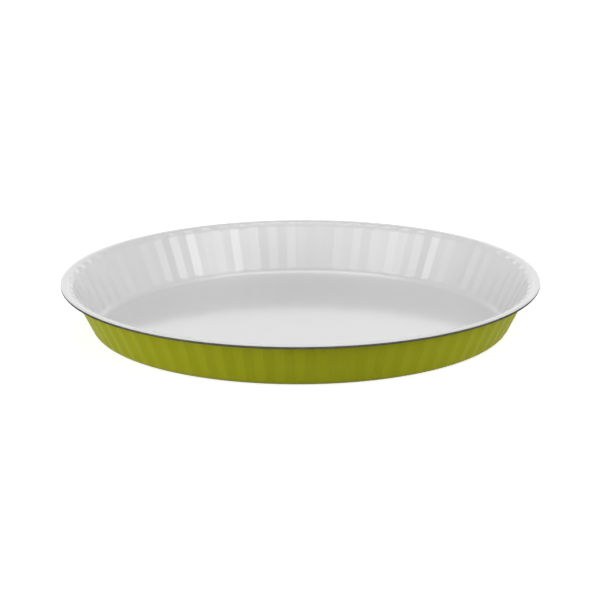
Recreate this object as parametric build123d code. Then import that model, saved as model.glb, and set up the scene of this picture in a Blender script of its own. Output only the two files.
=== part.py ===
from build123d import *
from math import cos, radians, sin, sqrt, tan
import os

# A round fluted pie dish: one steel pressing with a coat on each face.
# Millimetres, +Z up, origin on the table at the centre of the base.

# Driving dimensions
mouth_radius = 138.6        # inside wall line carried up to the crown of the rim
rim_width = 6.4             # from that line out to the widest line of the rim
dish_height = 30.0          # table to the crown of the rim
wall_lean = 27.2            # degrees the wall leans out from upright
rim_bend_radius = 8.0       # inside bend from the wall out to the rim
foot_bend_radius = 7.2      # inside bend from the floor up to the wall
curl_bore_radius = 0.4      # hollow left inside the edge curled under the rim

steel_thickness = 0.5
inner_coat_thickness = 0.15
outer_coat_thickness = 0.15

flute_count = 70
flute_phase = 3.7           # degrees from +X to the first outward ridge
flute_depth = 0.68          # ridge to ridge at the mouth, shrinking with the radius below it
flute_runout = 0.06         # how far both bends stand off the ridges that run into them

coat_stop = 30.0            # degrees on the curl, from its widest line, where the inner coat ends
curl_stop = -180.0          # degrees on the curl where the sheet ends
curl_start = 90.0           # degrees on the curl at the crown of the rim
seam_slope = 28.0           # slope in degrees of the rim bend where the fluted part ends
overrun = 1.0               # how far shapes that bound others reach past them
touching = 1e-6             # nearest distance taken as lying on a cutting plane

# Depths into the sheet, from the inside face of the dish outward
coat_depth = inner_coat_thickness
steel_depth = coat_depth + steel_thickness
full_depth = steel_depth + outer_coat_thickness

# Wall, bends and curl worked out from the sizes above
lean = radians(wall_lean)
bend_tan = tan((radians(90) - lean) / 2)
apex_drop = mouth_radius / tan(lean)
flute_half_angle = 180 / flute_count
curl_radius = curl_bore_radius + full_depth
curl_centre_r = mouth_radius + rim_width - curl_radius
curl_centre_z = dish_height - curl_radius
bend_corner_r = mouth_radius - flute_depth / 2 - flute_runout
bend_room = (curl_centre_r - bend_corner_r) / bend_tan
rim_bend = min(rim_bend_radius, bend_room)
bend_centre_r = bend_corner_r + rim_bend * bend_tan
bend_centre_z = dish_height - rim_bend
seam_r = bend_centre_r - rim_bend * sin(radians(seam_slope))
top_level = dish_height + overrun


def ridge_radius(height, depth, side):
    """Radius of the outward (side 1) or inward (side -1) ridges at a height and a depth.

    All ridges of one surface meet in a point far below the dish, so the facets between
    them are flat, and the next surface is the same one moved straight down.
    """
    above_apex = height - dish_height + apex_drop + depth / sin(lean)
    return (mouth_radius + side * flute_depth / 2) * above_apex / apex_drop


def on_circle(centre_r, centre_z, radius, angle):
    """A point of a circle in the half section, as (radius, height)."""
    turn = radians(angle)
    return (centre_r + radius * cos(turn), centre_z + radius * sin(turn))


def around(angle, *edges):
    """Edges drawn as (radius, height), closed to a face and turned about the dish's axis."""
    section = Plane.XZ * make_face(edges)
    return revolve(section.rotate(Axis.Z, -angle / 2), Axis.Z, angle)


def bend_height(radius, at_r):
    """Height of the rim bend, drawn with a radius, on the circle at_r."""
    return bend_centre_z + sqrt(radius ** 2 - (bend_centre_r - at_r) ** 2)


def flute(depth):
    """The space inside the two facets of one outward ridge."""
    rings = []
    for height in (floor_height(depth) - overrun, bend_height(rim_bend - depth, seam_r)):
        ring = [Vector(0, 0, height)]
        for turns, side in ((-1, -1), (0, 1), (1, -1)):
            radius = ridge_radius(height, depth, side)
            angle = radians(turns * flute_half_angle)
            ring.append(Vector(radius * cos(angle), radius * sin(angle), height))
        rings.append(ring)
    low, high = rings
    faces = [Face(Wire.make_polygon(ring, close=True)) for ring in rings]
    for index in range(len(low)):
        after = (index + 1) % len(low)
        side_corners = [low[index], low[after], high[after], high[index]]
        faces.append(Face(Wire.make_polygon(side_corners, close=True)))
    return Solid(Shell(faces))


def floor_height(depth):
    """Height of the floor at a depth into the sheet."""
    return full_depth - depth


def bowl(depth):
    """The space above the floor and inside the foot bend, one flute wide."""
    level = floor_height(depth)
    top = bend_height(rim_bend - depth, seam_r) + overrun
    radius = foot_bend_radius + depth
    centre_r = ridge_radius(level, depth, 1) + flute_runout - radius * bend_tan
    centre_z = level + radius
    flat_end = (centre_r, level)
    middle = on_circle(centre_r, centre_z, radius, -(90 + wall_lean) / 2)
    wall_start = on_circle(centre_r, centre_z, radius, -wall_lean)
    wall_end = (ridge_radius(top, depth, 1) + 2 * flute_runout, top)
    return around(
        2 * flute_half_angle,
        Line((0, top), (0, level)),
        Line((0, level), flat_end),
        ThreePointArc(flat_end, middle, wall_start),
        Line(wall_start, wall_end),
        Line(wall_end, (0, top)),
    )


def flare(depth):
    """The space above the rim bend as far out as the seam, one flute wide."""
    radius = rim_bend - depth
    low = on_circle(bend_centre_r, bend_centre_z, radius, 180 - wall_lean)
    middle_r = (low[0] + seam_r) / 2
    middle = (middle_r, bend_height(radius, middle_r))
    seam = (seam_r, bend_height(radius, seam_r))
    return around(
        2 * flute_half_angle,
        Line((0, top_level), (0, low[1])),
        Line((0, low[1]), low),
        ThreePointArc(low, middle, seam),
        Line(seam, (seam_r, top_level)),
        Line((seam_r, top_level), (0, top_level)),
    )


def cavity(depth):
    """The space inside one surface of the sheet, one flute wide and out to the seam."""
    return (flute(depth) & bowl(depth)) + flare(depth)


def is_cut(face):
    """Whether a face lies on one of the two upright planes that part a flute from the next."""
    if not face.is_planar:
        return False
    normal = face.normal_at()
    centre = face.center()
    across = normal.X * centre.X + normal.Y * centre.Y
    return abs(normal.Z) < touching and abs(across) < touching


def fluted_part(near, far):
    """The sheet between two depths inside the seam: one flute, repeated round the dish."""
    one_flute = cavity(far) - cavity(near)
    skin = [face for face in one_flute.faces() if not is_cut(face)]
    faces = []
    for index in range(flute_count):
        turn = flute_phase + 2 * index * flute_half_angle
        faces.extend(face.rotate(Axis.Z, turn) for face in skin)
    return Solid(Shell(faces)).clean()


def rim_part(near, far, stop):
    """The rim outside the seam between two depths, curled under as far as the stop angle."""
    edges = []
    seams = []
    ends = []
    for depth in (near, far):
        radius = rim_bend - depth
        level = dish_height - depth
        middle_r = (seam_r + bend_centre_r) / 2
        middle = (middle_r, bend_height(radius, middle_r))
        seams.append((seam_r, bend_height(radius, seam_r)))
        ends.append((curl_centre_r, level))
        edges.append(ThreePointArc(seams[-1], middle, (bend_centre_r, level)))
        if bend_centre_r < curl_centre_r:
            edges.append(Line((bend_centre_r, level), ends[-1]))
        if stop < curl_start:
            halfway = (curl_start + stop) / 2
            curl_middle = on_circle(curl_centre_r, curl_centre_z, curl_radius - depth, halfway)
            curl_end = on_circle(curl_centre_r, curl_centre_z, curl_radius - depth, stop)
            edges.append(ThreePointArc(ends[-1], curl_middle, curl_end))
            ends[-1] = curl_end
    edges.append(Line(*seams))
    edges.append(Line(*ends))
    return around(360, *edges)


def layer(near, far, stop):
    """One layer of the dish between two depths, in one piece from floor to rim."""
    return fluted_part(near, far) + rim_part(near, far, stop)


def inner_coating():
    """The white coat on the floor, the inside of the wall and over the rim."""
    return layer(0, coat_depth, coat_stop)


def steel_shell():
    """The pressed steel sheet, its edge curled under and left bare below the inner coat."""
    return layer(coat_depth, steel_depth, curl_stop)


def outer_coating():
    """The green coat under the base, on the outside of the wall and under the rim."""
    return layer(steel_depth, full_depth, curl_start)


os.makedirs("parts", exist_ok=True)
export_step(inner_coating(), "parts/inner_coating.step")
export_step(steel_shell(), "parts/steel_shell.step")
export_step(outer_coating(), "parts/outer_coating.step")
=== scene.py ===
import bpy
import math
import numpy as np
from collections import namedtuple
from mathutils import Matrix, Vector


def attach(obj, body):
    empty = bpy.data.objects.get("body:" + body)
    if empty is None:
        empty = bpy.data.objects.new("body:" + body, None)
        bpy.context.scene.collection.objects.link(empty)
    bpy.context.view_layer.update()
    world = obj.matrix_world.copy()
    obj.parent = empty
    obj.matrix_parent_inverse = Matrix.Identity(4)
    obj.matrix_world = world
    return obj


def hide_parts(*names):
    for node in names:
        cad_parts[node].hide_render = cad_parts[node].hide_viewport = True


# A round fluted pie dish: a steel pressing, white inside and green outside, on a white floor.

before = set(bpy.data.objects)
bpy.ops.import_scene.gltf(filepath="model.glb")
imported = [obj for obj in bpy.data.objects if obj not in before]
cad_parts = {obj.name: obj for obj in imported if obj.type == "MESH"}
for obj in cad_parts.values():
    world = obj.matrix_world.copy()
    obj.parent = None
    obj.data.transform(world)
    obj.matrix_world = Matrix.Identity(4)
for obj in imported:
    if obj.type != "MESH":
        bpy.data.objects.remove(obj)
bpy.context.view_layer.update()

MM = 0.001

# The dish's own sizes, in millimetres and degrees, the same as the CAD model's
MOUTH_RADIUS = 138.6        # inside wall line carried up to the crown of the rim
RIM_WIDTH = 6.4             # from that line out to the widest line of the rim
DISH_HEIGHT = 30.0
WALL_LEAN = 27.2            # lean of the wall from upright
RIM_BEND_RADIUS = 8.0
FOOT_BEND_RADIUS = 7.2
CURL_RADIUS = 1.2
FLUTE_COUNT = 70
FLUTE_PHASE = 3.7           # from +X to the first outward ridge
FLUTE_DEPTH = 0.68          # ridge to ridge at the mouth
FLUTE_RUNOUT = 0.06         # how far both bends stand off the ridges that run into them
COAT_DEPTH = 0.15           # depths into the sheet, from the inside face outward
STEEL_DEPTH = 0.65
FULL_DEPTH = 0.8
# The white coat stops high on the curl, so the dark steel below shows as a line under the rim: partly
# the real bare edge, partly painted shade under the curl
COAT_STOP = 30.0            # angles on the curl, from its widest line
CURL_STOP = -180.0
CURL_START = 90.0

# How softly the pressed sheet turns
RIDGE_ROUNDING = 0.04       # share of half a flute rounded at each ridge
RUNOUT_ROUNDING = 0.15      # millimetres blended where the flutes run out

# The flutes fade out along the rim bend instead of stopping dead
FADE_RIPPLE = 0.34          # millimetres the ripple reaches each way where the bend is steep
FADE_STEEP = 31.0           # degrees of slope where the ripple is at its full size
FADE_GENTLE = 21.0          # degrees of slope where it has gone

# Rings and columns of the meshes
Detail = namedtuple("Detail", "foot wall bend")
FINE = Detail(foot=14, wall=26, bend=33)    # rings on a face that shows
PLAIN = Detail(foot=6, wall=8, bend=8)      # rings on a face between two layers
FLOOR_RINGS = (4.0, 30.0, 60.0, 90.0, 108.0)    # radii in millimetres
CURL_STEP = 9               # degrees between the rings of the curl
COLUMN_SHARES = (0.0, 0.05, 0.12, 0.3, 0.6, 0.86, 0.95, 1.0)   # outward ridge to inward one
SEARCH_LOW = -2.0           # millimetres searched each way for the fluted surface
SEARCH_HIGH = 2.5
SEARCH_ROUNDS = 30
SHARP_ANGLE = 50            # degrees between faces that shade as an edge

# Lines, centres and angles worked out from the sizes above
LEAN = math.radians(WALL_LEAN)
BEND_TAN = math.tan((math.radians(90) - LEAN) / 2)
APEX_DROP = MOUTH_RADIUS / math.tan(LEAN)
HALF_FLUTE = math.pi / FLUTE_COUNT
CURL_R = MOUTH_RADIUS + RIM_WIDTH - CURL_RADIUS
CURL_Z = DISH_HEIGHT - CURL_RADIUS
CORNER_R = MOUTH_RADIUS - FLUTE_DEPTH / 2 - FLUTE_RUNOUT
BEND_R = CORNER_R + RIM_BEND_RADIUS * BEND_TAN
BEND_Z = DISH_HEIGHT - RIM_BEND_RADIUS


# The sheet's surfaces, as distances that are negative inside the dish

def ridge_radius(height, depth, side):
    """Radius of the outward (side 1) or inward (side -1) ridges at a height and a depth."""
    above_apex = height - DISH_HEIGHT + APEX_DROP + depth / math.sin(LEAN)
    return (MOUTH_RADIUS + side * FLUTE_DEPTH / 2) * above_apex / APEX_DROP


def bowl_centre(depth):
    """Radius and height of the foot bend's centre, and the bend's radius, at a depth."""
    level = FULL_DEPTH - depth
    radius = FOOT_BEND_RADIUS + depth
    corner = ridge_radius(level, depth, 1) + FLUTE_RUNOUT
    return corner - radius * BEND_TAN, level + radius, radius


def rounded(share):
    """The share of a half flute, eased near both ridges so that they turn softly."""
    e = RIDGE_ROUNDING
    return (np.sqrt(share ** 2 + e ** 2) - np.sqrt((1 - share) ** 2 + e ** 2) + 1) / 2


def flute_distance(r, z, share, depth):
    """From the flat facet between an outward ridge, at share 0, and an inward one, at share 1."""
    outward = ridge_radius(z, depth, 1)
    inward = ridge_radius(z, depth, -1)
    alpha = rounded(share) * HALF_FLUTE
    span = outward * np.sin(alpha) + inward * np.sin(HALF_FLUTE - alpha)
    facet = outward * inward * math.sin(HALF_FLUTE) / span
    return (r - facet) * math.cos(LEAN)


def bowl_distance(r, z, depth):
    """From the floor, the foot bend and the plain wall above it."""
    centre_r, centre_z, radius = bowl_centre(depth)
    angle = np.degrees(np.arctan2(z - centre_z, r - centre_r))
    wall = (r - centre_r) * math.cos(LEAN) - (z - centre_z) * math.sin(LEAN) - radius
    floor = centre_z - z - radius
    arc = np.hypot(r - centre_r, z - centre_z) - radius
    over_floor = (r < centre_r) & (z < centre_z)
    past_arc = (angle >= -WALL_LEAN) | (angle <= -90)
    return np.where(over_floor, floor, np.where(past_arc, np.maximum(wall, floor), arc))


def flare_distance(r, z, share, depth):
    """From the rim bend, with the ripple that fades out along it."""
    radius = RIM_BEND_RADIUS - depth
    angle = np.degrees(np.arctan2(z - BEND_Z, r - BEND_R)) % 360
    wall = (r - BEND_R) * math.cos(LEAN) - (z - BEND_Z) * math.sin(LEAN) + radius
    fade = np.clip((angle - 90 - FADE_GENTLE) / (FADE_STEEP - FADE_GENTLE), 0, 1)
    fade = fade * fade * (3 - 2 * fade)
    ripple = FADE_RIPPLE * fade * (1 - 2 * rounded(share))
    arc = radius - np.hypot(r - BEND_R, z - BEND_Z) - ripple
    bend = np.where(angle > 180 - WALL_LEAN, wall, arc)
    return np.maximum(bend, BEND_Z + radius * math.sin(LEAN) - z)


def soft_max(a, b, reach):
    """The larger of two distances, blended where they differ by less than the reach."""
    h = np.maximum(reach - np.abs(a - b), 0) / reach
    return np.maximum(a, b) + h * h * reach / 4


def cavity_distance(r, z, share, depth):
    """From the whole surface: the flutes bounded by the bowl, and opened by the flare."""
    flutes = flute_distance(r, z, share, depth)
    bowl = bowl_distance(r, z, depth)
    flare = flare_distance(r, z, share, depth)
    return -soft_max(-soft_max(flutes, bowl, RUNOUT_ROUNDING), -flare, RUNOUT_ROUNDING)


# Meshes of the three layers

def ring_on_arc(centre_r, centre_z, radius, degrees, side, fluted):
    """A ring on a round stretch; side is 1 where the sheet is outside the arc, -1 inside it."""
    turn = math.radians(degrees)
    nr, nz = math.cos(turn), math.sin(turn)
    return centre_r + radius * nr, centre_z + radius * nz, side * nr, side * nz, fluted


def profile(depth, stop, detail):
    """The rings of the plain half section, from the floor's centre outward.

    Each is a radius, a height, a normal into the sheet, and whether the flutes reach it.
    """
    rings = [(r, FULL_DEPTH - depth, 0.0, -1.0, False) for r in FLOOR_RINGS]

    foot_r, foot_z, foot = bowl_centre(depth)
    foot_r -= FLUTE_DEPTH / 2 + FLUTE_RUNOUT
    for step in np.linspace(0, 1, detail.foot):
        degrees = -90 + step * (90 - WALL_LEAN)
        rings.append(ring_on_arc(foot_r, foot_z, foot, degrees, 1, True))

    bend = RIM_BEND_RADIUS - depth
    low_r, low_z, nr, nz, _ = rings[-1]
    high_r, high_z = ring_on_arc(BEND_R, BEND_Z, bend, 180 - WALL_LEAN, -1, True)[:2]
    for step in np.linspace(0, 1, detail.wall)[1:]:
        rings.append((low_r + (high_r - low_r) * step, low_z + (high_z - low_z) * step, nr, nz, True))

    for step in np.linspace(0, 1, detail.bend)[1:]:
        degrees = 180 - WALL_LEAN - step * (90 - WALL_LEAN)
        fluted = degrees > 90 + FADE_GENTLE
        rings.append(ring_on_arc(BEND_R, BEND_Z, bend, degrees, -1, fluted))

    rings.append((CURL_R, DISH_HEIGHT - depth, 0.0, -1.0, False))
    if stop < CURL_START:
        curl = CURL_RADIUS - depth
        count = max(2, int((CURL_START - stop) / CURL_STEP) + 1)
        for degrees in np.linspace(CURL_START, stop, count)[1:]:
            rings.append(ring_on_arc(CURL_R, CURL_Z, curl, degrees, -1, False))
    return rings


def surface(depth, stop, detail, shares, angles):
    """Rings of points on one face, moved along their normals onto the fluted surface."""
    rings = []
    for ring_r, ring_z, nr, nz, fluted in profile(depth, stop, detail):
        shift = np.zeros(len(shares))
        if fluted:
            low = np.full(len(shares), SEARCH_LOW)
            high = np.full(len(shares), SEARCH_HIGH)
            for _ in range(SEARCH_ROUNDS):
                shift = (low + high) / 2
                inside = cavity_distance(ring_r + nr * shift, ring_z + nz * shift, shares, depth) < 0
                low = np.where(inside, shift, low)
                high = np.where(inside, high, shift)
            shift = (low + high) / 2
        r = ring_r + nr * shift
        z = ring_z + nz * shift
        rings.append(np.stack([r * np.cos(angles), r * np.sin(angles), z], 1) * MM)
    return np.array(rings)


def columns():
    """The share of a half flute and the angle round the dish of every column of points."""
    offsets = [-share for share in COLUMN_SHARES[:0:-1]] + list(COLUMN_SHARES[:-1])
    shares, angles = [], []
    for index in range(FLUTE_COUNT):
        ridge = math.radians(FLUTE_PHASE) + 2 * HALF_FLUTE * index
        for offset in offsets:
            shares.append(abs(offset))
            angles.append(ridge + offset * HALF_FLUTE)
    return np.array(shares), np.array(angles)


def layer_mesh(name, near, far, stop, near_detail, far_detail):
    """A closed mesh of one layer between two depths, near and far from the inside face."""
    shares, angles = columns()
    upper = surface(near, stop, near_detail, shares, angles)
    lower = surface(far, stop, far_detail, shares, angles)
    rings = np.concatenate([upper, lower[::-1]])
    count = len(shares)
    verts = [tuple(point) for point in rings.reshape(-1, 3)]
    faces = []
    for row in range(len(rings) - 1):
        a, b = row * count, (row + 1) * count
        for column in range(count):
            after = (column + 1) % count
            faces.append((a + column, b + column, b + after, a + after))
    for row, level in ((0, upper[0, 0, 2]), (len(rings) - 1, lower[0, 0, 2])):
        pole = len(verts)
        verts.append((0.0, 0.0, float(level)))
        for column in range(count):
            edge = (row * count + column, row * count + (column + 1) % count)
            faces.append((pole, *edge) if row == 0 else (pole, *edge[::-1]))
    mesh = bpy.data.meshes.new(name)
    mesh.from_pydata(verts, [], faces)
    mesh.validate()
    for polygon in mesh.polygons:
        polygon.use_smooth = True
    mesh.set_sharp_from_angle(angle=math.radians(SHARP_ANGLE))
    piece = bpy.data.objects.new(name, mesh)
    bpy.context.scene.collection.objects.link(piece)
    return piece


# Materials

NOISE_LOW = 0.3             # the part of a noise's range that nearly all of it lies in
NOISE_HIGH = 0.7


class Material:
    """A procedural material on the piece's own coordinates, in metres."""

    def __init__(self, name):
        self.material = bpy.data.materials.new(name)
        self.material.use_nodes = True
        self.tree = self.material.node_tree
        self.shader = self.tree.nodes["Principled BSDF"]
        self.coord = self.tree.nodes.new("ShaderNodeTexCoord").outputs["Object"]

    def set(self, socket, value):
        """A value that is the same all over the surface."""
        self.shader.inputs[socket].default_value = value

    def noise(self, scale, detail):
        node = self.tree.nodes.new("ShaderNodeTexNoise")
        node.inputs["Scale"].default_value = scale
        node.inputs["Detail"].default_value = detail
        self.tree.links.new(self.coord, node.inputs["Vector"])
        return node.outputs["Fac"]

    def colour(self, noise, low, high):
        """Base colour that wanders between two colours."""
        node = self.tree.nodes.new("ShaderNodeValToRGB")
        start, end = node.color_ramp.elements
        start.position, start.color = NOISE_LOW, (*low, 1)
        end.position, end.color = NOISE_HIGH, (*high, 1)
        self.tree.links.new(noise, node.inputs["Fac"])
        self.tree.links.new(node.outputs["Color"], self.shader.inputs["Base Color"])

    def roughness(self, noise, low, high):
        """Roughness that wanders between two values."""
        node = self.tree.nodes.new("ShaderNodeMapRange")
        node.inputs["From Min"].default_value = NOISE_LOW
        node.inputs["From Max"].default_value = NOISE_HIGH
        node.inputs["To Min"].default_value = low
        node.inputs["To Max"].default_value = high
        self.tree.links.new(noise, node.inputs["Value"])
        self.tree.links.new(node.outputs["Result"], self.shader.inputs["Roughness"])

    def bump(self, *layers):
        """Bumps over each other, each a noise and its height in millimetres."""
        normal = None
        for noise, height in layers:
            node = self.tree.nodes.new("ShaderNodeBump")
            node.inputs["Strength"].default_value = 1.0
            node.inputs["Distance"].default_value = height * MM
            self.tree.links.new(noise, node.inputs["Height"])
            if normal is not None:
                self.tree.links.new(normal, node.inputs["Normal"])
            normal = node.outputs["Normal"]
        self.tree.links.new(normal, self.shader.inputs["Normal"])


def white_coat():
    """Smooth sprayed ceramic coat: soft sheen, faint orange peel and a trace of mottling."""
    m = Material("white_coat")
    m.colour(m.noise(scale=35, detail=4), (0.775, 0.775, 0.775), (0.79, 0.79, 0.79))
    m.roughness(m.noise(scale=90, detail=3), 0.11, 0.15)
    m.set("IOR", 1.7)
    m.bump((m.noise(scale=260, detail=2), 0.006), (m.noise(scale=1800, detail=2), 0.001))
    return m.material


def green_coat():
    """Satin lacquer with a fine grain."""
    m = Material("green_coat")
    m.colour(m.noise(scale=60, detail=4), (0.425, 0.445, 0.017), (0.445, 0.465, 0.023))
    m.roughness(m.noise(scale=120, detail=3), 0.4, 0.46)
    m.set("Specular IOR Level", 0.02)
    m.bump((m.noise(scale=400, detail=2), 0.006), (m.noise(scale=2600, detail=2), 0.002))
    return m.material


def bare_steel():
    """Dark rolled steel with a fine grain, dull where it is seen edge on; as the line under the white
    curl its darkness is partly the bare edge, partly painted shade.
    """
    m = Material("bare_steel")
    # Dark colour: real bare steel, and also painted shade where it shows as the line beneath the rim's
    # curl
    m.colour(m.noise(scale=300, detail=5), (0.062, 0.062, 0.052), (0.092, 0.091, 0.078))
    m.roughness(m.noise(scale=800, detail=3), 0.35, 0.55)
    m.set("Metallic", 1.0)
    m.set("Specular Tint", (0.35, 0.35, 0.33, 1))
    m.bump((m.noise(scale=2500, detail=3), 0.01))
    return m.material


def dress(piece, node, material):
    """Give a piece its material and let it stand for its CAD node."""
    piece.data.materials.append(material)
    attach(piece, "root")
    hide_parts(node)


# The white skin ends on the curl; the dark steel under it stands partly for the bare edge and partly
# for painted shade beneath the rim
dress(layer_mesh("inner_skin", 0, COAT_DEPTH, COAT_STOP, FINE, PLAIN),
      "inner_coating", white_coat())
dress(layer_mesh("steel_sheet", COAT_DEPTH, STEEL_DEPTH, CURL_STOP, PLAIN, PLAIN),
      "steel_shell", bare_steel())
dress(layer_mesh("outer_skin", STEEL_DEPTH, FULL_DEPTH, CURL_START, PLAIN, FINE),
      "outer_coating", green_coat())


# Floor, world and lamps, in metres and degrees

FLOOR_HALF = 6.0
FLOOR_DROP = 0.05 * MM      # keeps the floor out of the plane of the dish's base
FLOOR_WHITE = 0.65          # base colour of the floor, for the light that it scatters
FLOOR_GLOW = 0.8            # lifts the floor that the camera and gloss see to white, leaving the shadow
WORLD_FILL = 0.19           # world strength for light that is scattered
LAMP_DISTANCE = 1.6
# A curved wall of softboxes in front, low ones for the outside, and others above and behind:
# name, azimuth, elevation, width, height, power
LAMPS = (
    ("side_left", 170, 21, 0.5, 0.35, 0.35),
    ("front_1", 192, 33, 0.45, 0.8, 0.9),
    ("front_2", 208, 33, 0.5, 0.8, 1.8),
    ("front_3", 226, 33, 0.5, 0.8, 1.3),
    ("front_4", 244, 33, 0.5, 0.8, 0.9),
    ("front_5", 262, 33, 0.5, 0.8, 0.7),
    ("front_6", 280, 33, 0.5, 0.8, 0.8),
    ("front_7", 298, 33, 0.5, 0.8, 1.5),
    ("front_8", 316, 33, 0.5, 0.8, 2.1),
    ("front_9", 334, 33, 0.5, 0.8, 2.5),
    ("front_10", 351, 31, 0.45, 0.8, 0.7),
    ("side_right", 13, 21, 0.45, 0.3, 0.15),
    ("low_left", 202, 6, 0.5, 0.3, 6.9),
    ("low_right", 350, 6, 0.5, 0.3, 3.6),
    ("high_right", 340, 62, 0.8, 0.6, 1.6),
    ("high_back", 90, 65, 0.8, 0.6, 3.3),
    ("back", 90, 19, 1.2, 0.6, 1.0),
)


def seen_ray(tree):
    """1 for rays that show the floor or the world to the camera, straight or in gloss or glass."""
    path = tree.nodes.new("ShaderNodeLightPath")
    seen = path.outputs["Is Camera Ray"]
    for kind in ("Is Glossy Ray", "Is Transmission Ray"):
        either = tree.nodes.new("ShaderNodeMath")
        either.operation = "MAXIMUM"
        tree.links.new(seen, either.inputs[0])
        tree.links.new(path.outputs[kind], either.inputs[1])
        seen = either.outputs[0]
    return seen


def strength(tree, scattered, seen):
    """One strength for scattered rays and another for rays that are seen."""
    node = tree.nodes.new("ShaderNodeMapRange")
    node.inputs["To Min"].default_value = scattered
    node.inputs["To Max"].default_value = seen
    tree.links.new(seen_ray(tree), node.inputs["Value"])
    return node.outputs["Result"]


def make_floor():
    mesh = bpy.data.meshes.new("floor")
    signs = ((-1, -1), (1, -1), (1, 1), (-1, 1))
    corners = [(x * FLOOR_HALF, y * FLOOR_HALF, -FLOOR_DROP) for x, y in signs]
    mesh.from_pydata(corners, [], [(0, 1, 2, 3)])
    floor = bpy.data.objects.new("floor", mesh)
    bpy.context.scene.collection.objects.link(floor)
    material = bpy.data.materials.new("floor_white")
    material.use_nodes = True
    tree = material.node_tree
    shader = tree.nodes["Principled BSDF"]
    shader.inputs["Base Color"].default_value = (FLOOR_WHITE, FLOOR_WHITE, FLOOR_WHITE, 1)
    shader.inputs["Roughness"].default_value = 0.9
    shader.inputs["Specular IOR Level"].default_value = 0.1
    shader.inputs["Emission Color"].default_value = (1, 1, 1, 1)
    tree.links.new(strength(tree, 0, FLOOR_GLOW), shader.inputs["Emission Strength"])
    mesh.materials.append(material)


def make_world():
    world = bpy.data.worlds.new("studio")
    bpy.context.scene.world = world
    world.use_nodes = True
    tree = world.node_tree
    background = tree.nodes["Background"]
    background.inputs["Color"].default_value = (1, 1, 1, 1)
    tree.links.new(strength(tree, WORLD_FILL, 1), background.inputs["Strength"])


def softbox(name, azimuth, elevation, width, height, power):
    """A lamp that faces the dish from a direction, unseen by the camera."""
    lamp = bpy.data.lights.new(name, "AREA")
    lamp.shape = "RECTANGLE"
    lamp.size = width
    lamp.size_y = height
    lamp.energy = power
    place = bpy.data.objects.new(name, lamp)
    bpy.context.scene.collection.objects.link(place)
    place.visible_camera = False
    a, e = math.radians(azimuth), math.radians(elevation)
    away = Vector((math.cos(e) * math.cos(a), math.cos(e) * math.sin(a), math.sin(e)))
    place.location = away * LAMP_DISTANCE
    place.rotation_euler = away.to_track_quat("Z", "Y").to_euler()


make_floor()
make_world()
for lamp in LAMPS:
    softbox(*lamp)


# Camera

CAMERA_ELEVATION = 15.3     # degrees
CAMERA_DISTANCE = 2.43      # metres
CAMERA_FOCAL = 241.2        # millimetres, on the sensor below
CAMERA_SENSOR = 36
CAMERA_ROLL = -0.23         # degrees
CAMERA_REACH = 50           # metres to the end of what it sees
AIM_HEIGHT = 28.23 * MM     # the point on the dish's axis that the distance and elevation start from
AIM_RIGHT = -0.32 * MM      # how far the camera aims beside and above that point
AIM_UP = -10.89 * MM


def make_camera():
    data = bpy.data.cameras.new("camera")
    data.lens = CAMERA_FOCAL
    data.sensor_width = CAMERA_SENSOR
    data.clip_end = CAMERA_REACH
    camera = bpy.data.objects.new("camera", data)
    bpy.context.scene.collection.objects.link(camera)
    e = math.radians(CAMERA_ELEVATION)
    back = Vector((0, -math.cos(e), math.sin(e)))
    target = Vector((0, 0, AIM_HEIGHT))
    right = Vector((1, 0, 0))
    up = back.cross(right)
    place = target + back * CAMERA_DISTANCE
    aim = target + right * AIM_RIGHT + up * AIM_UP
    turn = (place - aim).to_track_quat("Z", "Y").to_matrix().to_4x4()
    roll = Matrix.Rotation(math.radians(CAMERA_ROLL), 4, "Z")
    camera.matrix_world = Matrix.Translation(place) @ turn @ roll
    bpy.context.scene.camera = camera


make_camera()
bpy.context.scene.view_settings.view_transform = "Standard"
